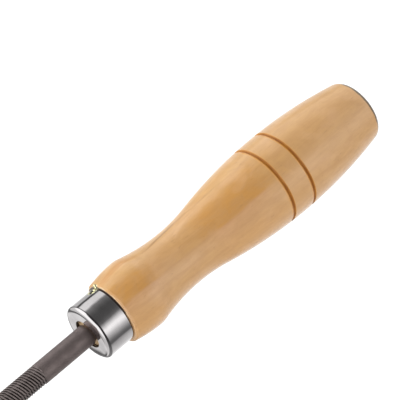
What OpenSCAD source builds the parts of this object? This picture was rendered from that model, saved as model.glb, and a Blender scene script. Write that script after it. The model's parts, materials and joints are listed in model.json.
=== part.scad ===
// Round wood rasp. A round toothed blade ends in a square tapered tang, which is
// driven into a turned wooden handle. A thin drawn ferrule is pressed over the
// handle's front end and staked to it with one punch mark.
// The tool's axis is X, the tip points to +X, and the origin is at the centre of
// the ferrule's front face. All sizes are in millimetres.

/* [Blade] */
// Diameter of the round blade at its heel and over its teeth
blade_d = 7; // [6:0.5:9]
// Length of the blade in front of the ferrule
blade_len = 200; // [150:5:250]
// Length of the plain heel in front of the ferrule
heel_len = 20; // [10:1:30]
// Length of the front stretch that tapers to the tip
taper_len = 90; // [40:5:120]
// Diameter of the blunt tip
tip_d = 4.6; // [3.6:0.2:5.6]
// Distance from one tooth to the next along the blade
tooth_pitch = 0.95; // [0.8:0.01:2]
// Depth of the gullet between two teeth
tooth_depth = 0.3; // [0.1:0.05:0.5]

/* [Tang] */
// Length of the tang behind the ferrule's front wall
tang_len = 58; // [40:1:70]
// Width of the square tang at the blade's shoulder
tang_root_w = 4.6; // [4:0.1:4.8]
// Width of the square tang at its end
tang_end_w = 2.2; // [1.5:0.1:3]

/* [Ferrule] */
// Outer diameter of the ferrule
ferrule_d = 19.4; // [17:0.1:20]
// Length of the ferrule
ferrule_len = 10; // [8:0.5:14]
// Thickness of the ferrule's metal
ferrule_wall = 0.8; // [0.5:0.1:1.2]
// Radius of the ferrule's rounded front edge
ferrule_round = 1.3; // [0.4:0.1:1.5]
// Diameter of the hole that the blade passes through
ferrule_hole_d = 9.9; // [9.5:0.1:12]

/* [Stake] */
// Radius of the round-nosed punch that stakes the ferrule
punch_r = 2; // [1.5:0.1:2.5]
// Depth of the punch mark in the ferrule's surface
punch_depth = 0.7; // [0.3:0.1:1]
// Distance from the ferrule's rear edge to the middle of the punch mark
punch_inset = 1.2; // [0.5:0.1:2]
// Place of the punch mark around the axis, from +Y towards +Z, in degrees
punch_angle = 135; // [0:5:355]

/* [Handle] */
// Length of the tool behind the ferrule's front face
handle_len = 119.5; // [110:0.5:130]
// Open gap between the ferrule's rear edge and the wood's shoulder
shoulder_gap = 0.35; // [0:0.05:0.8]
// Diameter of the wood just behind the ferrule
shoulder_d = 21.4; // [20.2:0.2:22]
// Diameter of the front bead
bead_d = 24.1; // [22:0.1:26]
// Distance of the front bead from the ferrule's front face
bead_at = 20.5; // [16:0.5:24]
// Diameter of the waist
waist_d = 19.6; // [17:0.1:22]
// Distance of the waist from the ferrule's front face
waist_at = 39; // [34:1:46]
// Diameter of the belly
belly_d = 28.4; // [25:0.1:32]
// Distance of the belly from the ferrule's front face
belly_at = 83.5; // [70:0.5:95]
// Diameter that the handle's outline has reached at the butt
butt_d = 21; // [18:0.2:24]
// Radius of the rounded rim at the butt
butt_round = 3; // [1:0.5:5]

/* [Turned lines] */
// Distance of the front line from the ferrule's front face
line_at = 76; // [60:0.5:90]
// Distance from the front line to the rear line
line_gap = 9; // [6:0.5:12]
// Width of each line at the surface
line_w = 1.2; // [0.5:0.1:1.5]
// Depth of each line
line_depth = 0.35; // [0.2:0.05:0.8]

/* [Bore in the handle] */
// Diameter of the shallow recess in the wood around the blade's shoulder
recess_d = 12; // [10.6:0.2:15]
// Depth of that recess
recess_depth = 0.5; // [0:0.1:1.5]
// Diameter of the wide front bore that takes the tang
front_bore_d = 5; // [4.6:0.1:5.2]
// Length of the wide front bore
front_bore_len = 28; // [20:1:35]
// Diameter of the narrow rear bore
rear_bore_d = 3.4; // [3:0.1:3.8]
// Depth of the narrow rear bore behind the ferrule's front wall
rear_bore_depth = 61; // [59:1:75]

/* [Hidden] */

$fn = 96;
blade_r = blade_d / 2;
tip_r = tip_d / 2;
tip_round = 1;
shoulder_bevel = 0.4;
tooth_face = 0.22;
teeth = floor((blade_len - heel_len - tip_round) / tooth_pitch) - 1;
ferrule_r = ferrule_d / 2;
spigot_r = ferrule_r - ferrule_wall;
punch_proud = punch_r - punch_depth;
bead_r = bead_d / 2;
waist_r = waist_d / 2;
belly_r = belly_d / 2;
bead_share = 0.12;
waist_share = 0.27;
shoulder_at = ferrule_len + shoulder_gap;
line_clear = 1;
overlap = 2;

// Height of a double curve that leaves level, bends over at share, and arrives level
function double_curve(t, share) =
    t < share ? t * t / share : 1 - (1 - t) * (1 - t) / (1 - share);

// Outline points from one station to the next, with the last station left out
function stretch(at0, r0, at1, r1, share, steps) = [
    for (i = [0 : steps - 1])
        let (t = i / steps)
        [r0 + (r1 - r0) * double_curve(t, share), at0 + (at1 - at0) * t]
];

// Points of an arc around a centre
function arc(x, y, r, a0, a1, steps) = [
    for (i = [0 : steps])
        let (a = a0 + (a1 - a0) * i / steps)
        [x + r * cos(a), y + r * sin(a)]
];

// Radius over the teeth at a distance in front of the ferrule
function crest_r(at) =
    let (t = max(0, (at - blade_len + taper_len) / taper_len))
    blade_r - (blade_r - tip_r) * t * t;

// Turns an outline around the tool's axis, with its height counted towards the tip
module turned_forward() {
    rotate([0, 90, 0]) rotate_extrude() children();
}

// Turns an outline around the tool's axis, with its height counted towards the butt
module turned_back() {
    rotate([0, -90, 0]) rotate_extrude() children();
}

// Flat wedge that narrows from the blade's shoulder to the end of the tang
module tang_wedge() {
    slope = (tang_root_w - tang_end_w) / 2 / tang_len;
    front = overlap - ferrule_wall;
    rear = -ferrule_wall - tang_len;
    front_half = tang_root_w / 2 + slope * overlap;
    linear_extrude(height = 2 * blade_d, center = true)
        polygon([
            [front, front_half],
            [rear, tang_end_w / 2],
            [rear, -tang_end_w / 2],
            [front, -front_half]
        ]);
}

// Square tapered tang
module tang() {
    intersection() {
        tang_wedge();
        rotate([90, 0, 0]) tang_wedge();
    }
}

// Blade with its bevelled shoulder, plain heel, rings of teeth and blunt tip
module file_blade() {
    first = heel_len;
    color("#5a5552") {
        turned_forward()
            polygon(concat(
                [[0, -ferrule_wall], [blade_r - shoulder_bevel, -ferrule_wall], [blade_r, 0]],
                [for (i = [0 : teeth - 1])
                    let (at = first + i * tooth_pitch)
                    each [[crest_r(at), at], [crest_r(at) - tooth_depth, at + tooth_face]]],
                [[crest_r(first + teeth * tooth_pitch), first + teeth * tooth_pitch]],
                arc(tip_r - tip_round, blade_len - tip_round, tip_round, 0, 90, 6),
                [[0, blade_len]]
            ));
        tang();
    }
}

// Ball of the round-nosed punch, enlarged by the metal that it pushes ahead of it
module punch(extra) {
    at = -ferrule_len + punch_inset;
    centre = ferrule_r + punch_proud;
    translate([at, centre * cos(punch_angle), centre * sin(punch_angle)])
        sphere(punch_r + extra);
}

// Metal that the punch has pushed into the wood inside the ferrule
module stake_bump() {
    intersection() {
        punch(ferrule_wall);
        turned_back()
            translate([0, ferrule_wall])
            square([spigot_r + ferrule_wall / 2, ferrule_len - ferrule_wall]);
    }
}

// Drawn cup with a hole for the blade and a rounded front edge
module ferrule() {
    color("#c9cacf")
        difference() {
            union() {
                turned_back()
                    polygon(concat(
                        [[ferrule_hole_d / 2, 0]],
                        arc(ferrule_r - ferrule_round, ferrule_round, ferrule_round, -90, 0, 8),
                        [[ferrule_r, ferrule_len], [spigot_r, ferrule_len]],
                        [[spigot_r, ferrule_wall], [ferrule_hole_d / 2, ferrule_wall]]
                    ));
                stake_bump();
            }
            punch(0);
        }
}

// Radius of the handle between its waist and its belly
function belly_side_r(at) =
    let (t = min(1, (at - waist_at) / (belly_at - waist_at)))
    waist_r + (belly_r - waist_r) * double_curve(t, waist_share);

// Notch of one turned line, drawn in the handle's outline
module line_notch(at) {
    r = belly_side_r(at);
    half_w = line_w / 2 * (1 + line_clear / line_depth);
    polygon([[r - line_depth, at], [r + line_clear, at - half_w], [r + line_clear, at + half_w]]);
}

// Half of the handle's lengthwise section
module handle_outline() {
    rim_at = handle_len - butt_round;
    side_len = handle_len - belly_at;
    side_drop = belly_r - butt_d / 2;
    lean = atan(2 * side_drop * (rim_at - belly_at) / (side_len * side_len));
    arc_at = rim_at + butt_round * sin(lean);
    arc_t = (arc_at - belly_at) / side_len;
    arc_r = belly_r - side_drop * arc_t * arc_t;
    difference() {
        polygon(concat(
            [[0, ferrule_wall + recess_depth], [recess_d / 2, ferrule_wall + recess_depth]],
            [[recess_d / 2, ferrule_wall], [spigot_r, ferrule_wall], [spigot_r, shoulder_at]],
            stretch(shoulder_at, shoulder_d / 2, bead_at, bead_r, 0, 8),
            stretch(bead_at, bead_r, waist_at, waist_r, bead_share, 15),
            stretch(waist_at, waist_r, belly_at, belly_r, waist_share, 15),
            stretch(belly_at, belly_r, arc_at, arc_r, 1, 12),
            arc(arc_r - butt_round * cos(lean), rim_at, butt_round, lean, 90, 8),
            [[0, handle_len]]
        ));
        line_notch(line_at);
        line_notch(line_at + line_gap);
    }
}

// Turned handle: spigot, shoulder, bead, waist, belly with two lines, and rounded butt
module handle() {
    color("#cf9d62")
        difference() {
            turned_back() handle_outline();
            translate([-ferrule_wall - front_bore_len, 0, 0])
                rotate([0, 90, 0]) cylinder(d = front_bore_d, h = front_bore_len + overlap);
            translate([-ferrule_wall - rear_bore_depth, 0, 0])
                rotate([0, 90, 0]) cylinder(d = rear_bore_d, h = rear_bore_depth + overlap);
            tang();
            stake_bump();
            punch(0);
        }
}

file_blade();
ferrule();
handle();
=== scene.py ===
"""Round wood rasp: looks for the blade, the ferrule and the turned handle.

Everything is in metres, in the CAD model's frame: the tool's axis is X, the tip points to +X,
and the origin is at the centre of the ferrule's front face. Places around the axis are angles
from +Y towards +Z.
"""
import json
import math
import random

import bpy
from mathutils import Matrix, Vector, noise


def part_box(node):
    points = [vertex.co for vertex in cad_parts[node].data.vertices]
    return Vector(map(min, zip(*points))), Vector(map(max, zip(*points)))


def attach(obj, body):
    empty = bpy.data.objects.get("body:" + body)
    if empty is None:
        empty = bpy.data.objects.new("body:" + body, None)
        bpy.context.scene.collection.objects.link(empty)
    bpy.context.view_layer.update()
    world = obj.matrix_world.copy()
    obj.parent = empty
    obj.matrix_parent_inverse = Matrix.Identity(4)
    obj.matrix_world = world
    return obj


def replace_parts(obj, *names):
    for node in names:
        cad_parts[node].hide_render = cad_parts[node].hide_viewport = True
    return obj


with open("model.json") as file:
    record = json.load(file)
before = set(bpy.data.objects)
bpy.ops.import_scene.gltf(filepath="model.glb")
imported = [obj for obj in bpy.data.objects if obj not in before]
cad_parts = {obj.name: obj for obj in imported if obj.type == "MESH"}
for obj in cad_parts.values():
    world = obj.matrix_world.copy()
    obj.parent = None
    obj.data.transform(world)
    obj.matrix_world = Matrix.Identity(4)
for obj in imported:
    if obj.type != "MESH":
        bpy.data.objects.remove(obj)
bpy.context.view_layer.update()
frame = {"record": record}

MM = 0.001

# ---------------------------------------------------------------- sizes from the frame
blade_low, blade_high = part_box("file_blade")
ferrule_low, ferrule_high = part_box("ferrule")
handle_low, handle_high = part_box("handle")
MOUNTS = {m["name"]: m for m in frame["record"]["mounts"]}

BLADE_R = blade_high.y
TIP_X = blade_high.x
TANG_END_X = blade_low.x
HEEL_LEN = MOUNTS["blade_heel"]["dims"]["length_mm"] * MM
FERRULE_R = ferrule_high.y
FERRULE_LEN = -ferrule_low.x
BELLY_R = handle_high.y
BUTT_X = -handle_low.x
WALL = -handle_high.x
SPIGOT_R = FERRULE_R - WALL

# ---------------------------------------------------------------- driving dimensions of the blade
TIP_R = 2.3 * MM
TIP_ROUND = 1.0 * MM
TAPER_LEN = 90 * MM
SHOULDER_BEVEL = 0.4 * MM
TOOTH_PITCH = 0.95 * MM
TOOTH_DEPTH = 0.3 * MM
TOOTH_ROWS = 5
TOOTH_ROW_START = math.radians(26.5)
ROW_GAP = math.radians(2.4)
ROW_COLUMNS = 14
# how many pitches a tooth shifts along the blade from one side of its row to the other
TOOTH_SLANT = 1.25
# crest, foot of the cutting face, gullet, back: (share of the pitch, share of the depth)
TOOTH_FORM = ((0.0, 0.0), (0.16, 0.85), (0.3, 1.0), (0.62, 0.45))
# how many pitches before the first tooth the columns of points begin
RUN_IN = 2
HEEL_RINGS = 12
TANG_ROOT_W = 4.6 * MM
TANG_END_W = 2.2 * MM
TANG_BEVEL = 0.12
TANG_STEPS = 24
# value of the mesh's cut attribute where no tooth is cut: crests are 0, gullets 1
PLAIN = 0.3

# ---------------------------------------------------------------- driving dimensions of the ferrule
HOLE_R = 4.95 * MM
FERRULE_ROUND = 1.3 * MM
LIP = 0.12 * MM
# the face starts to slope in a band before its rounded edge, and has this slope at the edge, in degrees
FACE_BAND = 0.9 * MM
FACE_LEAN = 14
WAVE_DEPTH = 0.12 * MM
# a press mark on one side of the face: its angle, its depth, and the radius where it starts
DIP_ANGLE = math.radians(280)
DIP = 0.42 * MM
DIP_FROM = 5.3 * MM
PUNCH_R = 2.0 * MM
PUNCH_DEPTH = 0.7 * MM
PUNCH_X = -FERRULE_LEN + 1.2 * MM
PUNCH_ANGLE = math.radians(135)
STAKE_R = 1.25 * MM
FERRULE_SEGMENTS = 320

# ---------------------------------------------------------------- driving dimensions of the handle
SHOULDER_GAP = 0.35 * MM
SHOULDER_X = -FERRULE_LEN - SHOULDER_GAP
SHOULDER_R = 10.7 * MM
SHOULDER_ROUND = 0.6 * MM
BEAD_R, BEAD_AT, BEAD_SHARE = 12.05 * MM, 20.5 * MM, 0.12
WAIST_R, WAIST_AT, WAIST_SHARE = 9.8 * MM, 39 * MM, 0.27
BELLY_AT = 83.5 * MM
BUTT_R = 10.5 * MM
BUTT_ROUND = 3 * MM
RIM_CENTRE_R = BUTT_R - 1.4 * MM
LINES_AT = (76 * MM, 85 * MM)
LINE_W = 1.2 * MM
LINE_DEPTH = 0.35 * MM
RECESS_R, RECESS = 6 * MM, 0.5 * MM
BORE_R, BORE_LEN = 2.5 * MM, 28 * MM
REAR_BORE_R, REAR_BORE_LEN = 1.7 * MM, 61 * MM
BORE_EDGE = 0.3 * MM
HANDLE_SEGMENTS = 256
UNEVENNESS = 0.03 * MM
MARKS = ("burn", "char", "raw", "dark_rim_and_shade", "hole_and_gap_shade", "chip_and_glint", "end")
# the side towards which the lines' char is painted darker, which is painted shading over an even scorch, and
# the side of the ferrule's hole where the wood is painted in shade beside the blade
PAINTED_CHAR_SIDE = math.radians(40)
SHADED_HOLE_SIDE = math.radians(45)
CHIP_W = 0.9 * MM

# the wood's growth layers: the side they face, in degrees, and their usual thickness in mm
LAYER_ANGLE = 150
RING_WIDTH = 2.9
# how closely the layers lie at the ferrule's face, where 1 is usual, and how much that grows per metre of X,
# which makes them lie further apart towards the butt
FAN_START, FAN_SLOPE = 1.13, 4.0
# how strongly the painted reflection band shows, by the distance behind the ferrule's front face in 100 mm
REFLECTION_BAND_STRENGTH = ((0.2, 1.0), (0.32, 0.25), (0.43, 0.25), (0.53, 1.0), (0.67, 1.0), (0.77, 0.3), (0.88, 0.1))
# a dark vein: its layer, and how strongly it shows by the distance in 100 mm
VEIN_LAYER = 9.0
VEIN_ENDS = ((0.26, 0.0), (0.33, 0.75), (0.42, 0.6), (0.54, 0.2), (0.75, 0.0))
# colour of the painted reflection band by distance from the axis in mm across the layers' direction, which
# stays within the span: the amber stretch is a painted dark reflection in the varnish, the paler pinker
# stretch a painted sheen
REFLECTION_BAND_COLOURS = ((-14, (0.60, 0.34, 0.135)), (-8, (0.585, 0.325, 0.125)), (-4.5, (0.59, 0.335, 0.145)),
                 (-0.6, (0.605, 0.34, 0.165)), (0.4, (0.56, 0.28, 0.078)), (6.5, (0.565, 0.285, 0.082)),
                 (8.6, (0.60, 0.34, 0.125)), (14, (0.615, 0.35, 0.13)))
LAYER_SPAN = 15

# ---------------------------------------------------------------- colours
WOOD = (0.595, 0.345, 0.145)
RING_LINE = (0.44, 0.21, 0.07)
VEIN = (0.25, 0.12, 0.04)
BLOTCH = (0.52, 0.285, 0.115)
PALE_CLOUD = (0.67, 0.4, 0.21)
BEAD_STREAK = (0.52, 0.23, 0.065)
FIBRE = (0.36, 0.17, 0.06)
FLECK = (0.3, 0.15, 0.06)
SCORCH = ((0.43, 0.155, 0.001), (0.52, 0.212, 0.008))
SCORCHED_EDGE = (0.68, 0.33, 0.085)
CHAR = (0.23, 0.064, 0.0)
RAW_WOOD = (0.73, 0.53, 0.31)
END_GRAIN = ((0.42, 0.235, 0.095), (0.27, 0.13, 0.045))
# a darker band on the butt's rim, and painted shade in the lines' underside
DARK_RIM_AND_SHADE = (0.13, 0.075, 0.03)
# painted shade: near black in the gap behind the ferrule and in the ferrule's hole beside the blade
HOLE_AND_GAP_SHADE = (0.06, 0.03, 0.018)
# pale wood at the dent, brightened by a painted glint
WOOD_CHIP_AND_GLINT = (0.95, 0.88, 0.48)
PLATE = ((0.665, 0.643, 0.645), (0.575, 0.553, 0.555))
# wood colour and a painted reflection on the ferrule's dent
DENT_WOOD_AND_GLINT = (0.95, 0.9, 0.5)
DIRTY_METAL = (0.035, 0.028, 0.024)
# painted shade between the crumbs
PIT_SHADE = (0.012, 0.01, 0.008)
STEEL = ((0.305, 0.25, 0.24), (0.235, 0.192, 0.184))
CREST = (0.255, 0.218, 0.208)
# painted shade in the gullets between the teeth
GULLET_SHADE = (0.026, 0.02, 0.018)


# ---------------------------------------------------------------- small helpers
def clamp(value, low=0.0, high=1.0):
    return max(low, min(high, value))


def lerp(a, b, t):
    return a + (b - a) * t


def smooth(t):
    t = clamp(t)
    return t * t * (3 - 2 * t)


def past_angle(a, start, span):
    """How far an angle has gone past start, from 0 to 1 over span. Start and span are in degrees."""
    return smooth((math.degrees(a) - start) / span)


def double_curve(t, share):
    """A curve that leaves level, bends over at share, and arrives level."""
    if t < share:
        return t * t / share
    return 1 - (1 - t) ** 2 / (1 - share)


def arc(x, r, radius, start, end, steps):
    """Points (x, r) of an arc whose angles are counted from the +X direction, in degrees."""
    points = []
    for i in range(steps + 1):
        a = math.radians(lerp(start, end, i / steps))
        points.append((x + radius * math.cos(a), r + radius * math.sin(a)))
    return points


def on_circle(x, r, a):
    return (x, r * math.cos(a), r * math.sin(a))


def ring_noise(a, scale, along):
    """Noise from -1 to 1 that changes around the axis and with along."""
    return noise.noise(Vector((math.cos(a) * scale, math.sin(a) * scale, along)))


def side_noise(along, a, scale):
    """Noise from 0 to 1 that changes along a turned side and around it."""
    return 0.5 + 0.5 * noise.noise(Vector((along, math.cos(a) * scale, math.sin(a) * scale)))


def new_object(name, verts, faces, attributes=None, sharp_angle=35):
    """A mesh piece with float attributes on its points, smooth shading and sharp edges by angle."""
    mesh = bpy.data.meshes.new(name)
    mesh.from_pydata(verts, [], faces)
    mesh.validate()
    for key, values in (attributes or {}).items():
        layer = mesh.attributes.new(key, "FLOAT", "POINT")
        layer.data.foreach_set("value", values)
    mesh.shade_smooth()
    mesh.set_sharp_from_angle(angle=math.radians(sharp_angle))
    obj = bpy.data.objects.new(name, mesh)
    bpy.context.scene.collection.objects.link(obj)
    return obj


def lathe(outline, segments, shape):
    """Vertices and faces of an outline turned about X. shape(x, r, a) gives a point's radius.

    The outline runs from one point on the axis to another, and each end becomes a single vertex."""
    verts, faces = [(outline[0][0], 0.0, 0.0)], []
    for x, r in outline[1:-1]:
        for j in range(segments):
            a = 2 * math.pi * j / segments
            verts.append(on_circle(x, shape(x, r, a), a))
    verts.append((outline[-1][0], 0.0, 0.0))
    rings, last = len(outline) - 2, len(verts) - 1

    def at(i, j):
        return 1 + i * segments + j % segments

    for j in range(segments):
        faces.append((0, at(0, j), at(0, j + 1)))
        for i in range(rings - 1):
            faces.append((at(i, j), at(i + 1, j), at(i + 1, j + 1), at(i, j + 1)))
        faces.append((last, at(rings - 1, j + 1), at(rings - 1, j)))
    return verts, faces


def dense(outline, step):
    """The same outline with long straight stretches cut into pieces no longer than step."""
    points = [outline[0]]
    for (x0, r0), (x1, r1) in zip(outline, outline[1:]):
        pieces = max(1, math.ceil(math.hypot(x1 - x0, r1 - r0) / step))
        points += [(lerp(x0, x1, i / pieces), lerp(r0, r1, i / pieces)) for i in range(1, pieces + 1)]
    return points


def punch_sink(x, r, a, extra):
    """Radius of a surface after the round-nosed punch, widened by extra, has pressed it in."""
    centre = FERRULE_R + PUNCH_R - PUNCH_DEPTH
    turn = (a - PUNCH_ANGLE + math.pi) % (2 * math.pi) - math.pi
    # the punch never reaches this far round
    if abs(turn) > 0.6:
        return r
    across = centre * math.sin(turn)
    room = (PUNCH_R + extra) ** 2 - (x - PUNCH_X) ** 2 - across ** 2
    if room <= 0:
        return r
    return min(r, centre * math.cos(turn) - math.sqrt(room))


# ---------------------------------------------------------------- handle
def handle_radius(at):
    """Radius of the turned wood at a distance behind the ferrule's front face."""
    if at < BEAD_AT:
        t = (at - FERRULE_LEN) / (BEAD_AT - FERRULE_LEN)
        return lerp(SHOULDER_R, BEAD_R, double_curve(t, 0))
    if at < WAIST_AT:
        t = (at - BEAD_AT) / (WAIST_AT - BEAD_AT)
        return lerp(BEAD_R, WAIST_R, double_curve(t, BEAD_SHARE))
    if at < BELLY_AT:
        t = (at - WAIST_AT) / (BELLY_AT - WAIST_AT)
        return lerp(WAIST_R, BELLY_R, double_curve(t, WAIST_SHARE))
    t = (at - BELLY_AT) / (BUTT_X - BELLY_AT)
    return lerp(BELLY_R, BUTT_R, t * t)


def line_cut(at):
    """Depth of the two turned lines at a distance behind the ferrule's front face."""
    depth = 0.0
    for line in LINES_AT:
        t = abs(at - line) / (LINE_W / 2)
        if t < 1:
            depth = max(depth, LINE_DEPTH * (1 - t ** 1.5))
    return depth


def bore_outline():
    """Half section of the stepped bore, the recess, the spigot and the shoulder."""
    recess_x = -WALL - RECESS
    points = [(-WALL - REAR_BORE_LEN, 0), (-WALL - REAR_BORE_LEN, REAR_BORE_R)]
    points += [(-WALL - BORE_LEN, REAR_BORE_R), (-WALL - BORE_LEN, BORE_R)]
    points += [(recess_x - BORE_EDGE, BORE_R), (recess_x, BORE_R + BORE_EDGE)]
    points += [(recess_x, RECESS_R), (-WALL, RECESS_R + RECESS)]
    points += [(-WALL, SPIGOT_R - BORE_EDGE), (-WALL - BORE_EDGE, SPIGOT_R)]
    points += [(SHOULDER_X, SPIGOT_R), (SHOULDER_X, SHOULDER_R - SHOULDER_ROUND)]
    points += arc(SHOULDER_X - SHOULDER_ROUND, SHOULDER_R - SHOULDER_ROUND, SHOULDER_ROUND, 0, 75, 6)[1:]
    return dense(points, 2 * MM)


def handle_outline():
    """Half section from the bottom of the bore, out of the spigot and round to the butt."""
    rim_at = BUTT_X - BUTT_ROUND
    side_len, side_drop = BUTT_X - BELLY_AT, BELLY_R - BUTT_R
    lean = math.atan(2 * side_drop * (rim_at - BELLY_AT) / side_len ** 2)
    arc_at = rim_at + BUTT_ROUND * math.sin(lean)

    at, stations = SHOULDER_ROUND - SHOULDER_X, []
    while at < arc_at:
        stations.append(at)
        near_line = any(abs(at - line) < LINE_W for line in LINES_AT)
        at += 0.1 * MM if near_line else 0.6 * MM
    points = bore_outline() + [(-s, handle_radius(s) - line_cut(s)) for s in stations]

    arc_r = handle_radius(arc_at) - BUTT_ROUND * math.cos(lean)
    points += arc(-rim_at, arc_r, BUTT_ROUND, 90 + math.degrees(lean), 180, 14)
    points += [(-BUTT_X, arc_r * share) for share in (0.8, 0.6, 0.4, 0.2, 0)]
    return points


def wood_shape(x, r, a):
    """Radius of the wood: pressed in by the punch in front, and slightly uneven on its outside."""
    spigot = SPIGOT_R * 0.98
    if r > spigot and x > -FERRULE_LEN - 2 * MM:
        return punch_sink(x, r, a, WALL if x >= -FERRULE_LEN and r < FERRULE_R else 0)
    if r < spigot and x > -BELLY_AT:
        return r
    return r - UNEVENNESS * side_noise(x * 60, a, 1.2)


def line_marks(x, a):
    """Scorch in and beside the turned lines, and the char at their bottom, which is painted darker on one
    side as shading.
    """
    wander = 0.1 * MM * ring_noise(a, 1.5, 3.1)
    past = min((-x - line - wander for line in LINES_AT), key=abs)
    burn = clamp(1.15 - abs(past) / (0.72 * LINE_W))
    # painted shading: the cosine term makes the char darker on one side and lighter on the other; the noise
    # is real unevenness of the scorch
    heat_and_painted_shading = 0.5 + 0.5 * ring_noise(a, 4, x * 40) + 0.4 * math.cos(a - PAINTED_CHAR_SIDE)
    char = clamp(1.25 - abs(past - 0.14 * LINE_W) / (0.42 * LINE_W)) * clamp(heat_and_painted_shading)
    return burn, char


def front_marks(x, r, a):
    """Bare wood at the shoulder's edge and in the ferrule's hole, and painted shade in the hole and in the
    gap, darker on the upper side.
    """
    above = past_angle(a, 20, 50)
    in_front = x > SHOULDER_X - 0.01 * MM
    if in_front and r < SPIGOT_R - 1 * MM:
        # painted shade in the ferrule's hole, darkest on the side beside the blade
        hole_shade = smooth((math.cos(a - SHADED_HOLE_SIDE) - 0.3) / 0.5)
        return 0.8, 0.05 + 0.8 * hole_shade
    raw = 0.0
    if r > SPIGOT_R:
        edge = SHOULDER_X - (0.2 + 0.3 * ring_noise(a, 5, 0.3)) * MM
        raw = (0.1 + 0.75 * past_angle(a, 15, 50)) * smooth((x - edge) / (0.2 * MM))
    # painted shadow in the gap behind the ferrule, darker on the upper side
    shaded_gap_r = FERRULE_R + (0.15 + 0.4 * above) * MM
    return raw, lerp(0.35, 1, above) if in_front and r <= shaded_gap_r else 0.0


def butt_marks(x, r, a):
    """A darker band on the butt's rim, and the bare end grain inside it."""
    behind = -x - BUTT_X + BUTT_ROUND
    if behind <= 0:
        return 0.0, 0.0
    rim = math.degrees(math.atan2(r - RIM_CENTRE_R, behind))
    dark_rim_and_shade = smooth((58 + 8 * ring_noise(a, 5, 0.3) - rim) / 10) * smooth((rim - 10) / 8)
    return dark_rim_and_shade, smooth((26 - rim) / 14)


def wood_marks(x, y, z):
    """Strength of every mark at a point of the wood, in the order of MARKS."""
    a, r = math.atan2(z, y), math.hypot(y, z)
    burn, char = line_marks(x, a)
    raw, hole_and_gap_shade = front_marks(x, r, a)
    dark_rim_and_shade, end = butt_marks(x, r, a)
    # the lines are painted darker on their underside, towards the bench, which is painted shade
    dark_rim_and_shade = max(dark_rim_and_shade, past_angle(-a, 12, 14) * past_angle(a, -110, 30) * burn)
    on_face = r > SPIGOT_R * 1.01 and x > SHOULDER_X - 0.5 * MM
    chip_and_glint = smooth(2 - abs(a - PUNCH_ANGLE) * r / CHIP_W) if on_face else 0.0
    return burn, char, raw, dark_rim_and_shade, hole_and_gap_shade, chip_and_glint, end


def make_handle():
    """Turned handle with its bore, spigot, shoulder, bead, waist, belly, lines and butt."""
    verts, faces = lathe(handle_outline(), HANDLE_SEGMENTS, wood_shape)
    marks = zip(*(wood_marks(*point) for point in verts))
    piece = new_object("turned_handle", verts, faces, dict(zip(MARKS, marks)), 40)
    piece.data.materials.append(varnished_wood())
    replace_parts(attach(piece, "root"), "handle")


# ---------------------------------------------------------------- ferrule
def ferrule_outline():
    """Half sections of the cup's outside, from the hole to the rear edge, and of its inside, back again."""
    lean = math.radians(FACE_LEAN)
    edge_r = FERRULE_R - FERRULE_ROUND * (1 - math.sin(lean))
    drop = FACE_BAND * math.tan(lean) / 2
    arc_x = -drop - FERRULE_ROUND * math.cos(lean)
    outer = [(-LIP, HOLE_R), (0, HOLE_R + LIP)]
    outer += [(0, lerp(HOLE_R + LIP, edge_r - FACE_BAND, i / 8)) for i in range(1, 9)]
    outer += [(-drop * (i / 5) ** 2, edge_r - FACE_BAND * (1 - i / 5)) for i in range(1, 5)]
    outer += arc(arc_x, FERRULE_R - FERRULE_ROUND, FERRULE_ROUND, FACE_LEAN, 90, 14)
    outer += [(lerp(arc_x, -FERRULE_LEN + LIP, i / 46), FERRULE_R) for i in range(1, 47)]
    outer.append((-FERRULE_LEN, FERRULE_R - LIP))
    inner = [(-FERRULE_LEN, SPIGOT_R + LIP / 2)]
    inner += [(lerp(-FERRULE_LEN, -WALL, i / 24), SPIGOT_R) for i in range(1, 25)]
    inner += [(-WALL, lerp(SPIGOT_R, HOLE_R + LIP, i / 6)) for i in range(1, 7)]
    inner += [(-WALL + LIP, HOLE_R)]
    return outer, inner


def face_dip(x, r, a):
    """How far the face is pressed in towards one side of its edge."""
    side = smooth((math.cos(a - DIP_ANGLE) - 0.5) / 0.45)
    outwards = clamp((r - DIP_FROM) / (FERRULE_R - DIP_FROM))
    return DIP * side * outwards ** 2 * clamp(1 + x / (4 * MM))


def ferrule_point(x, r, a, inside):
    """A point of the cup: dented by the punch, and on its outside with shallow waves and a dipped face."""
    radius = punch_sink(x, r, a, WALL if inside else 0) if r > HOLE_R + 2 * MM else r
    if inside:
        return on_circle(x, radius, a)
    wave = WAVE_DEPTH * side_noise(x / (9 * MM) + 2.4, a, 1.9)
    return on_circle(x - face_dip(x, r, a), radius - wave * smooth((r - HOLE_R) / (3 * MM)), a)


def make_ferrule():
    """Pressed cup with a rounded front edge, a hole for the blade, and one dent that locks it to the wood."""
    outer, inner = ferrule_outline()
    outline = outer + inner
    count = len(outline)
    verts, faces, stake, bare = [], [], [], []
    for i, (x, r) in enumerate(outline):
        inside = i >= len(outer)
        for j in range(FERRULE_SEGMENTS):
            a = 2 * math.pi * j / FERRULE_SEGMENTS
            verts.append(ferrule_point(x, r, a, inside))
            turn = (a - PUNCH_ANGLE) * FERRULE_R
            stake.append(smooth(1.8 - math.hypot(x - PUNCH_X, turn) / STAKE_R))
            bare.append(1.0 if inside or i == 0 else 0.0)
            k, n = (i + 1) % count, (j + 1) % FERRULE_SEGMENTS
            here, there = i * FERRULE_SEGMENTS, k * FERRULE_SEGMENTS
            faces.append((here + j, there + j, there + n, here + n))
    piece = new_object("plated_ferrule", verts, faces, {"stake": stake, "bare": bare}, 40)
    piece.data.materials.append(nickel_plate())
    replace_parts(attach(piece, "root"), "ferrule")


# ---------------------------------------------------------------- blade
def crest_radius(x):
    """Radius over the teeth, which falls towards the tip."""
    t = clamp((x - TIP_X + TAPER_LEN) / TAPER_LEN)
    return BLADE_R - (BLADE_R - TIP_R) * t * t


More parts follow.
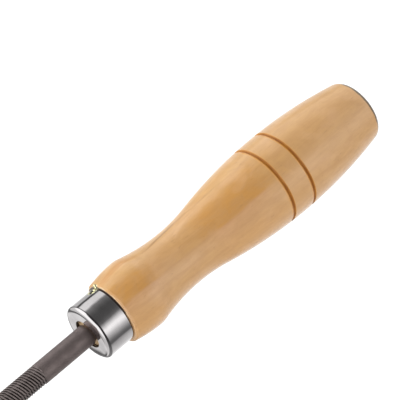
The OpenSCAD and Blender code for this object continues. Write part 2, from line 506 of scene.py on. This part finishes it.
def tooth_columns():
    """Angles of the columns of points in each row, with the gap between two rows left between them."""
    span = 2 * math.pi / TOOTH_ROWS
    return [[TOOTH_ROW_START + row * span + ROW_GAP / 2 + (span - ROW_GAP) * k / (ROW_COLUMNS - 1)
             for k in range(ROW_COLUMNS)]
            for row in range(TOOTH_ROWS)]


class BladeMesh:
    """Points, faces and the cut attribute of the blade, which is built up from columns and rings."""

    def __init__(self, angles):
        self.angles = angles
        self.verts, self.faces, self.cut = [], [], []

    def point(self, place, cut=PLAIN):
        self.verts.append(place)
        self.cut.append(cut)
        return len(self.verts) - 1

    def ring(self, x, r):
        return [self.point(on_circle(x, r, a)) for a in self.angles]

    def join(self, low, high):
        """Sides between two rings, of which high is nearer the tip."""
        total = len(low)
        for j in range(total):
            n = (j + 1) % total
            self.faces.append((low[n], high[n], high[j], low[j]))

    def zipper(self, left, right):
        """Triangles between two columns of points that run along the blade side by side."""
        i = j = 0
        while i < len(left) - 1 or j < len(right) - 1:
            next_left = self.verts[left[i + 1]][0] if i < len(left) - 1 else math.inf
            next_right = self.verts[right[j + 1]][0] if j < len(right) - 1 else math.inf
            if next_left <= next_right:
                self.faces.append((right[j], left[i + 1], left[i]))
                i += 1
            else:
                self.faces.append((right[j], right[j + 1], left[i]))
                j += 1


def cut_teeth(blade, rows, first, last):
    """Slanted rows of teeth, each with its own small faults. Gives back their columns of points."""
    rng = random.Random(7)
    count = int((last - first) / TOOTH_PITCH)
    columns = []
    for row in rows:
        slide = rng.uniform(0, 0.5)
        jitter = [rng.uniform(-0.07, 0.07) for _ in range(count + 1)]
        force = [rng.uniform(0.8, 1.0) for _ in range(count + 1)]
        for k, a in enumerate(row):
            along = TOOTH_SLANT * k / (len(row) - 1) + slide - RUN_IN
            from_side = min(k, len(row) - 1 - k) / 2
            column = []
            for i in range(count):
                for share, depth in TOOTH_FORM:
                    fault = jitter[i] * (1 - share) + jitter[i + 1] * share
                    x = first + (i + along + share + fault) * TOOTH_PITCH
                    bite = clamp((x - first) / (0.4 * MM)) * clamp((last - x) / (1.5 * MM))
                    x = min(x, last - 0.05 * MM)
                    deep = TOOTH_DEPTH * depth * force[i] * lerp(0.7, 1, clamp(from_side)) * bite
                    place = on_circle(x, crest_radius(x) - deep, a)
                    column.append(blade.point(place, lerp(PLAIN, deep / TOOTH_DEPTH, bite)))
            columns.append(column)

    for c, here in enumerate(columns):
        there = columns[(c + 1) % len(columns)]
        if (c + 1) % ROW_COLUMNS == 0:
            blade.zipper(here, there)
        else:
            for i in range(len(here) - 1):
                blade.faces.append((there[i], there[i + 1], here[i + 1], here[i]))
    return columns


def add_tang(blade, shoulder):
    """Square tapered tang with bevelled corners, joined to the ring of the shoulder's face."""
    corners = []
    for i in range(TANG_STEPS + 1):
        t = i / TANG_STEPS
        x = lerp(-WALL, TANG_END_X, t)
        half = lerp(TANG_ROOT_W, TANG_END_W, t) / 2
        flat = half * (1 - TANG_BEVEL)
        bevel = half * TANG_BEVEL
        corners.append([blade.point((x, y, z)) for y, z in (
            (half, flat), (flat, half), (bevel - half, half), (-half, flat),
            (-half, bevel - half), (bevel - half, -half), (flat, -half), (half, bevel - half))])
    for front, back in zip(corners, corners[1:]):
        blade.join(back, front)
    blade.faces.append(tuple(reversed(corners[-1])))

    root = corners[0]
    root_angle = [math.atan2(blade.verts[i][2], blade.verts[i][1]) % (2 * math.pi) for i in root]

    def nearest(a):
        apart = [abs((b - a + math.pi) % (2 * math.pi) - math.pi) for b in root_angle]
        return apart.index(min(apart))

    total = len(shoulder)
    for j in range(total):
        n = (j + 1) % total
        p, q = nearest(blade.angles[j]), nearest(blade.angles[n])
        blade.faces.append((shoulder[j], root[p], shoulder[n]))
        if p != q:
            blade.faces.append((root[p], root[q], shoulder[n]))


def make_blade():
    """One forging: tang, bevelled shoulder, plain heel, slanted rows of cut teeth, blunt tip."""
    rows = tooth_columns()
    blade = BladeMesh([a for row in rows for a in row])
    first, last = HEEL_LEN - TOOTH_PITCH / 2, TIP_X - TIP_ROUND
    columns = cut_teeth(blade, rows, first, last)

    # the plain heel's rings end clear of the columns' first points
    plain_end = first - (RUN_IN + 0.3) * TOOTH_PITCH
    heel = [blade.ring(-WALL, BLADE_R - SHOULDER_BEVEL), blade.ring(0, BLADE_R)]
    heel += [blade.ring(plain_end * i / HEEL_RINGS, BLADE_R) for i in range(1, HEEL_RINGS + 1)]
    heel.append([column[0] for column in columns])
    tip = [[column[-1] for column in columns], blade.ring(last, crest_radius(last))]
    tip += [blade.ring(x, r) for x, r in arc(last, TIP_R - TIP_ROUND, TIP_ROUND, 75, 0, 5)]
    for rings in (heel, tip):
        for low, high in zip(rings, rings[1:]):
            blade.join(low, high)
    blade.faces.append(tuple(tip[-1]))
    add_tang(blade, heel[0])

    piece = new_object("toothed_blade", blade.verts, blade.faces, {"cut": blade.cut}, 28)
    piece.data.materials.append(hardened_steel())
    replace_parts(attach(piece, "root"), "file_blade")


# ---------------------------------------------------------------- materials
class Nodes:
    """Short calls for building one node material."""

    def __init__(self, name):
        self.material = bpy.data.materials.new(name)
        self.material.use_nodes = True
        self.tree = self.material.node_tree
        self.shader = self.tree.nodes["Principled BSDF"]

    def add(self, kind, **settings):
        node = self.tree.nodes.new(kind)
        for key, value in settings.items():
            setattr(node, key, value)
        return node

    def feed(self, socket, value):
        """Gives a socket another socket's output, a colour or a number."""
        if isinstance(value, bpy.types.NodeSocket):
            self.tree.links.new(value, socket)
        elif isinstance(value, tuple) and socket.type == "RGBA" and len(value) == 3:
            socket.default_value = (*value, 1)
        else:
            socket.default_value = value

    def place(self, scale, offset=(0, 0, 0)):
        """Object coordinates, scaled and moved."""
        mapping = self.add("ShaderNodeMapping")
        mapping.inputs["Scale"].default_value = scale
        mapping.inputs["Location"].default_value = offset
        self.feed(mapping.inputs["Vector"], self.add("ShaderNodeTexCoord").outputs["Object"])
        return mapping.outputs["Vector"]

    def noise(self, scale, offset=(0, 0, 0), detail=4.0, roughness=0.55, distortion=0.0):
        """Noise whose bumps are finer along an axis the larger its scale is."""
        node = self.add("ShaderNodeTexNoise")
        for key, value in (("Scale", 1.0), ("Detail", detail), ("Roughness", roughness),
                           ("Distortion", distortion), ("Vector", self.place(scale, offset))):
            self.feed(node.inputs[key], value)
        return node.outputs["Fac"]

    def ramp(self, factor, *stops):
        """Colour ramp with (place, colour) stops. A number stands for a grey."""
        node = self.add("ShaderNodeValToRGB")
        elements = node.color_ramp.elements
        while len(elements) < len(stops):
            elements.new(0.5)
        for element, (place, colour) in zip(elements, stops):
            element.position = place
            element.color = (*colour, 1) if isinstance(colour, tuple) else (colour, colour, colour, 1)
        self.feed(node.inputs["Fac"], factor)
        return node.outputs["Color"]

    def mix(self, factor, a, b):
        """Mix of two colours, or of two sockets."""
        node = self.add("ShaderNodeMix", data_type="RGBA")
        for socket, value in zip((node.inputs[0], node.inputs[6], node.inputs[7]), (factor, a, b)):
            self.feed(socket, value)
        return node.outputs[2]

    def math(self, operation, a, b=0.0):
        node = self.add("ShaderNodeMath", operation=operation)
        for socket, value in zip(node.inputs, (a, b)):
            self.feed(socket, value)
        return node.outputs[0]

    def attribute(self, name):
        return self.add("ShaderNodeAttribute", attribute_name=name).outputs["Fac"]

    def bump(self, height, distance, strength, under=None):
        node = self.add("ShaderNodeBump")
        node.inputs["Strength"].default_value = strength
        node.inputs["Distance"].default_value = distance
        self.feed(node.inputs["Height"], height)
        if under is not None:
            self.feed(node.inputs["Normal"], under)
        return node.outputs["Normal"]

    def set(self, **values):
        for key, value in values.items():
            self.feed(self.shader.inputs[key.replace("_", " ")], value)


def flakes(n, bright):
    """Fine crumbs of a bright material with dark pits between them, which are painted shade."""
    return n.mix(n.ramp(n.noise((1100, 1100, 1100), detail=2.0), (0.42, 1.0), (0.5, 0.0)), bright, PIT_SHADE)


def growth_layers(n):
    """Distance across the wood's layers in mm, straight and warped, and the place along X."""
    where = n.place((1, 1, 1))
    across = n.add("ShaderNodeVectorMath", operation="DOT_PRODUCT")
    n.feed(across.inputs[0], where)
    lean = math.radians(LAYER_ANGLE)
    across.inputs[1].default_value = (0.0, math.cos(lean) / MM, math.sin(lean) / MM)
    split = n.add("ShaderNodeSeparateXYZ")
    n.feed(split.inputs[0], where)
    along = split.outputs["X"]
    # the layers lie further apart towards the butt
    fan = n.math("ADD", n.math("MULTIPLY", along, FAN_SLOPE), FAN_START)
    straight = n.math("MULTIPLY", across.outputs["Value"], fan)
    warp = n.math("SUBTRACT", n.noise((45, 90, 90), detail=3.0, roughness=0.5), 0.5)
    warped = n.math("ADD", straight, n.math("MULTIPLY", warp, 3.5))
    return straight, warped, along


def layered_wood(n, straight, warped, along):
    """Colour of the wood: a painted reflection band, amber with a paler pink edge, that comes and goes, ring
    lines, a vein and bead streaks.
    """
    spot = n.math("ADD", n.math("MULTIPLY", warped, 1 / (2 * LAYER_SPAN)), 0.5)
    layer_stops = [((w + LAYER_SPAN) / (2 * LAYER_SPAN), colour) for w, colour in REFLECTION_BAND_COLOURS]
    # painted reflection: amber where the varnish reflects dark, paler pink as a painted sheen
    reflection_band_colour = n.ramp(spot, *layer_stops)
    drift = n.math("SUBTRACT", n.noise((110, 170, 170), (4, 4, 4)), 0.5)
    reach = n.math("ADD", along, n.math("MULTIPLY", drift, 0.03))
    reflection_band = n.ramp(n.math("MULTIPLY", reach, -10.0), *REFLECTION_BAND_STRENGTH)
    colour = n.mix(reflection_band, WOOD, reflection_band_colour)

    ring = n.math("FRACT", n.math("MULTIPLY", warped, 1 / RING_WIDTH))
    ring_line = n.ramp(ring, (0.0, 0.5), (0.08, 0.0), (0.6, 0.0), (0.94, 0.55), (1.0, 0.5))
    patch = n.noise((50, 110, 110), (9, 3, 1), detail=2.0)
    colour = n.mix(n.math("MULTIPLY", ring_line, n.ramp(patch, (0.4, 0.0), (0.7, 0.4))), colour, RING_LINE)

    bend = n.math("SUBTRACT", n.noise((90, 90, 90), (2, 6, 2), detail=2.0), 0.5)
    off_vein = n.math("SUBTRACT", n.math("ADD", straight, n.math("MULTIPLY", bend, 0.9)), VEIN_LAYER)
    near_vein = n.ramp(n.math("ABSOLUTE", off_vein), (0.05, 1.0), (0.3, 0.0))
    behind = n.math("MULTIPLY", along, -10.0)
    colour = n.mix(n.math("MULTIPLY", near_vein, n.ramp(behind, *VEIN_ENDS)), colour, VEIN)

    blotch = n.noise((130, 190, 190), (1, 4, 2), roughness=0.6, distortion=1.2)
    colour = n.mix(n.ramp(blotch, (0.4, 0.0), (0.64, 0.45)), colour, BLOTCH)
    cloud = n.noise((90, 150, 150), (5, 2, 3), detail=3.0, roughness=0.5, distortion=0.8)
    colour = n.mix(n.ramp(cloud, (0.5, 0.0), (0.72, 0.45)), colour, PALE_CLOUD)

    # reddish streaks in the outer layers of the bead
    streaks = n.ramp(n.noise((30, 480, 480), (6, 2, 4), detail=2.0), (0.48, 0.0), (0.62, 0.45))
    outer_layers = n.ramp(spot, (0.79, 0.0), (0.84, 1.0))
    front_part = n.ramp(behind, (0.24, 1.0), (0.33, 0.0))
    outer = n.math("MULTIPLY", outer_layers, front_part)
    return n.mix(n.math("MULTIPLY", streaks, outer), colour, BEAD_STREAK), blotch


def marked_wood(n, colour, warped, burnt):
    """The same wood with scorched lines, bare edges, end grain, a darker rim on the butt, painted shade under
    the lines, in the gap and in the ferrule's hole, and pale chips with a painted glint.
    """
    streak = n.noise((2600, 90, 90), (7, 7, 7), detail=3.0)
    scorch = n.mix(n.ramp(streak, (0.42, 0.0), (0.58, 1.0)), *SCORCH)
    colour = n.mix(n.ramp(n.attribute("burn"), (0.0, 0.0), (0.3, 0.6)), colour, SCORCHED_EDGE)
    rings = n.math("FRACT", n.math("MULTIPLY", warped, 1.7 / RING_WIDTH))
    grain = n.mix(n.ramp(rings, (0.0, 0.5), (0.3, 0.0), (0.95, 0.9)), *END_GRAIN)
    colour = n.mix(burnt, colour, scorch)
    for mark, look in (("char", CHAR), ("raw", RAW_WOOD), ("end", grain), ("dark_rim_and_shade", DARK_RIM_AND_SHADE), ("hole_and_gap_shade", HOLE_AND_GAP_SHADE),
                       ("chip_and_glint", flakes(n, WOOD_CHIP_AND_GLINT))):
        colour = n.mix(n.attribute(mark), colour, look)
    return colour


def varnished_wood():
    """Light turned wood sawn in flat layers: ring lines, a painted reflection band, fibres, flecks, varnish.
    """
    n = Nodes("varnished_wood")
    straight, warped, along = growth_layers(n)
    colour, blotch = layered_wood(n, straight, warped, along)
    fibre = n.noise((60, 1100, 1100), detail=5.0, roughness=0.6)
    colour = n.mix(n.ramp(fibre, (0.35, 0.14), (0.6, 0.0)), colour, FIBRE)
    fleck = n.noise((420, 1900, 1900), (3, 1, 5), detail=2.0)
    colour = n.mix(n.ramp(fleck, (0.66, 0.0), (0.74, 0.24)), colour, FLECK)
    burnt = n.ramp(n.attribute("burn"), (0.32, 0.0), (0.6, 1.0))
    colour = marked_wood(n, colour, warped, burnt)

    turning = n.noise((1600, 8, 8), detail=2.0)
    surface = n.bump(turning, 0.02 * MM, 0.2, n.bump(fibre, 0.03 * MM, 0.35))
    varnish = n.math("MULTIPLY", n.math("SUBTRACT", 1.0, burnt), 0.6)
    n.set(Base_Color=colour, Roughness=n.ramp(blotch, (0.3, 0.36), (0.7, 0.46)), Normal=surface, IOR=1.45,
          Coat_Weight=varnish, Coat_Roughness=0.16, Coat_IOR=1.5, Sheen_Weight=0.25, Sheen_Roughness=0.3)
    return n.material


def nickel_plate():
    """Bright plated sheet metal: faint waves from pressing, fine scratches, and in the dent pale yellow
    crumbs that stand for wood seen in it and a painted reflection, with painted shade between them.
    """
    n = Nodes("nickel_plate")
    cloud = n.noise((130, 130, 130))
    scratch = n.noise((2600, 90, 90), (2, 0, 0), detail=3.0, roughness=0.6)
    colour = n.mix(n.ramp(cloud, (0.35, 0.0), (0.65, 1.0)), *PLATE)
    rough = n.mix(0.5, n.ramp(cloud, (0.3, 0.05), (0.7, 0.13)), n.ramp(scratch, (0.35, 0.05), (0.7, 0.15)))

    stake, bare = n.attribute("stake"), n.attribute("bare")
    colour = n.mix(stake, colour, flakes(n, DENT_WOOD_AND_GLINT))
    colour = n.mix(bare, colour, DIRTY_METAL)
    worn = n.math("MAXIMUM", bare, n.math("MULTIPLY", stake, 0.7))

    wave = n.noise((150, 70, 70), (5, 2, 1), detail=2.0)
    surface = n.bump(scratch, 0.01 * MM, 0.3, n.bump(wave, 0.3 * MM, 0.35))
    n.set(Base_Color=colour, Metallic=n.math("SUBTRACT", 1.0, worn), Normal=surface,
          Roughness=n.math("ADD", rough, n.math("MULTIPLY", worn, 0.4)))
    return n.material


def hardened_steel():
    """Dark hardened steel: ground heel, lighter crests, and painted shade in the gullets between the teeth.
    """
    n = Nodes("hardened_steel")
    mottle = n.noise((260, 260, 260), detail=5.0, roughness=0.6)
    grind = n.noise((1500, 160, 160))
    colour = n.mix(n.ramp(mottle, (0.35, 0.0), (0.65, 1.0)), *STEEL)
    cut = n.attribute("cut")
    colour = n.mix(n.ramp(cut, (0.0, 1.0), (PLAIN, 0.0)), colour, CREST)
    # painted shade in the gullets
    colour = n.mix(n.ramp(cut, (PLAIN, 0.0), (0.36, 0.3), (0.7, 1.0)), colour, GULLET_SHADE)
    rough = n.ramp(mottle, (0.3, 0.44), (0.7, 0.56))
    n.set(Base_Color=colour, Metallic=0.85, Roughness=rough, Normal=n.bump(grind, 0.02 * MM, 0.4))
    return n.material


def light_table():
    """Backlit white sheet: it stays white under the tool."""
    n = Nodes("light_table")
    tone = n.noise((3, 3, 3), detail=2.0)
    n.set(Base_Color=n.ramp(tone, (0.3, 0.07), (0.7, 0.08)), Roughness=0.9, Specular_IOR_Level=0.1,
          Emission_Color=(1, 1, 1), Emission_Strength=1.12)
    return n.material


# ---------------------------------------------------------------- stage
# the photo's own view: angles in degrees, distances in metres, the lens in millimetres
CAMERA_ELEVATION = 55.83
CAMERA_AZIMUTH = 134.92
CAMERA_DISTANCE = 0.7823
CAMERA_AIM = Vector((-0.05876, -0.01057, 0))
CAMERA_LENS = 225
FLOOR_HALF = 12.0
FLOOR_STEPS = 8
# strength of the whole room's light
LIGHT_LEVEL = 1.2
# (degrees above the horizon, level) of the room's light: on the -Y side, on the +Y side, in the dark strip
# between the sides and the front, in front of the tip, and in front of it towards +Y
LEFT_LIGHT = ((-90, 1.0), (-45, 0.9), (-28, 0.55), (-13, 0.56), (-8, 0.36), (-5, 0.08), (2, 0.06),
              (7.5, 0.84), (33, 0.88), (37, 0.55), (42, 0.24), (54, 0.15), (66, 0.08), (90, 0.06))
RIGHT_LIGHT = ((-90, 0.9), (-65, 0.68), (-54, 0.62), (-41, 0.54), (-30, 0.41), (-22, 0.13), (-13, 0.16),
               (-5, 0.27), (10, 0.66), (18, 0.95), (27, 1.15), (34, 1.1), (44, 0.7), (51, 0.4), (57, 0.15),
               (66, 0.09), (90, 0.06))
MIDDLE_LIGHT = ((-90, 0.25), (-20, 0.1), (0, 0.05), (90, 0.03))
FRONT_LIGHT = ((-90, 0.1), (-63, 0.12), (-58.5, 0.82), (-53, 0.82), (-50, 0.15), (-40, 0.15), (-34, 0.65),
               (-10, 0.75), (0, 1.25), (50, 1.25), (58, 0.1), (90, 0.04))
FRONT_RIGHT_LIGHT = ((-90, 0.8), (-34, 0.65), (-10, 0.75), (0, 1.25), (50, 1.25), (58, 0.1), (90, 0.04))
# sun lamps that shape the wood: direction towards the lamp, energy, spread in degrees, colour
LAMPS = {"key": ((-0.1, -0.95, 0.28), 2.25, 45, (0.93, 1.0, 1.05)),
         "fill": ((0.7, 0.25, 0.9), 0.85, 60, (1.0, 0.98, 0.95)),
         "rear": ((-0.5, 0.85, 0.1), 0.65, 50, (1.0, 0.97, 0.94))}


def make_floor():
    """A wide level floor that touches the belly."""
    corners = [lerp(-FLOOR_HALF, FLOOR_HALF, i / FLOOR_STEPS) for i in range(FLOOR_STEPS + 1)]
    verts = [(x, y, -BELLY_R) for x in corners for y in corners]
    faces = []
    for i in range(FLOOR_STEPS):
        for j in range(FLOOR_STEPS):
            k = i * len(corners) + j
            faces.append((k, k + len(corners), k + len(corners) + 1, k + 1))
    floor = new_object("floor", verts, faces)
    floor.data.materials.append(light_table())
    floor.visible_glossy = False


class WorldNodes:
    """Short calls for blending the room's light by direction."""

    def __init__(self, name):
        self.world = bpy.data.worlds.new(name)
        self.world.use_nodes = True
        self.tree = self.world.node_tree
        self.direction = self.tree.nodes.new("ShaderNodeTexCoord").outputs["Generated"]
        split = self.tree.nodes.new("ShaderNodeSeparateXYZ")
        self.tree.links.new(self.direction, split.inputs[0])
        self.x, self.y = split.outputs["X"], split.outputs["Y"]
        self.height = self.share(split.outputs["Z"], -1, 1)

    def share(self, source, low, high):
        """How far a value has got from low to high, from 0 to 1."""
        node = self.tree.nodes.new("ShaderNodeMapRange")
        node.inputs["From Min"].default_value = low
        node.inputs["From Max"].default_value = high
        self.tree.links.new(source, node.inputs["Value"])
        return node.outputs[0]

    def blend(self, factor, first, second):
        mix = self.tree.nodes.new("ShaderNodeMix")
        mix.data_type = "RGBA"
        for socket, link in ((0, factor), (6, first), (7, second)):
            self.tree.links.new(link, mix.inputs[socket])
        return mix.outputs[2]

    def bands(self, stops):
        """Grey levels by elevation: stops are (degrees above the horizon, level)."""
        ramp = self.tree.nodes.new("ShaderNodeValToRGB")
        elements = ramp.color_ramp.elements
        while len(elements) < len(stops):
            elements.new(0.5)
        for element, (degrees, level) in zip(elements, stops):
            element.position = (math.sin(math.radians(degrees)) + 1) / 2
            element.color = (level, level, level, 1)
        self.tree.links.new(self.height, ramp.inputs["Fac"])
        return ramp.outputs["Color"]


def make_room():
    """Bands of soft light on both sides and ahead, a dark ceiling, and a pale bench below."""
    room = WorldNodes("studio")
    lights = (LEFT_LIGHT, RIGHT_LIGHT, MIDDLE_LIGHT, FRONT_LIGHT, FRONT_RIGHT_LIGHT)
    left, right, middle, front, front_right = (room.bands(stops) for stops in lights)
    sides = room.blend(room.share(room.y, -0.35, 0.35), left, right)
    # the dark strip between the side lights and the front light is wider where it's seen in the metal
    rays = room.tree.nodes.new("ShaderNodeLightPath")
    soft = room.blend(room.share(room.x, 0.05, 0.14), sides, middle)
    sharp = room.blend(room.share(room.x, -0.31, -0.24), sides, middle)
    behind = room.blend(rays.outputs["Is Glossy Ray"], soft, sharp)

    ahead = room.tree.nodes.new("ShaderNodeVectorMath")
    ahead.operation = "DOT_PRODUCT"
    ahead.inputs[1].default_value = (1.0, -0.4, 0.0)
    room.tree.links.new(room.direction, ahead.inputs[0])
    front = room.blend(room.share(room.y, -0.24, -0.17), front, front_right)
    everywhere = room.blend(room.share(ahead.outputs["Value"], 0.27, 0.36), behind, front)

    # the camera itself sees a plain white wall
    wall = room.tree.nodes.new("ShaderNodeRGB")
    wall.outputs[0].default_value = (1, 1, 1, 1)
    shown = room.blend(rays.outputs["Is Camera Ray"], everywhere, wall.outputs[0])
    background = room.tree.nodes["Background"]
    room.tree.links.new(shown, background.inputs["Color"])
    background.inputs["Strength"].default_value = LIGHT_LEVEL
    bpy.context.scene.world = room.world


def make_lamps():
    """Sun lamps for the wood, which don't show in the metal."""
    for name, (towards, energy, spread, colour) in LAMPS.items():
        lamp = bpy.data.lights.new(name, "SUN")
        lamp.energy = energy
        lamp.color = colour
        lamp.angle = math.radians(spread)
        obj = bpy.data.objects.new(name, lamp)
        obj.rotation_euler = Vector(towards).to_track_quat("Z", "Y").to_euler()
        obj.visible_glossy = False
        bpy.context.scene.collection.objects.link(obj)


def make_camera():
    """The camera, aimed past the tool's axis at the part that the photo shows."""
    camera = bpy.data.cameras.new("camera")
    camera.lens = CAMERA_LENS
    camera.sensor_width = 36
    obj = bpy.data.objects.new("camera", camera)
    a, e = math.radians(CAMERA_AZIMUTH), math.radians(CAMERA_ELEVATION)
    back = Vector((math.sin(a) * math.cos(e), -math.cos(a) * math.cos(e), math.sin(e)))
    obj.location = CAMERA_AIM + back * CAMERA_DISTANCE
    obj.rotation_euler = back.to_track_quat("Z", "Y").to_euler()
    camera.clip_start, camera.clip_end = 0.01, 100
    bpy.context.scene.collection.objects.link(obj)
    bpy.context.scene.camera = obj


make_handle()
make_ferrule()
make_blade()
make_floor()
make_room()
make_lamps()
make_camera()
bpy.context.scene.view_settings.view_transform = "Standard"
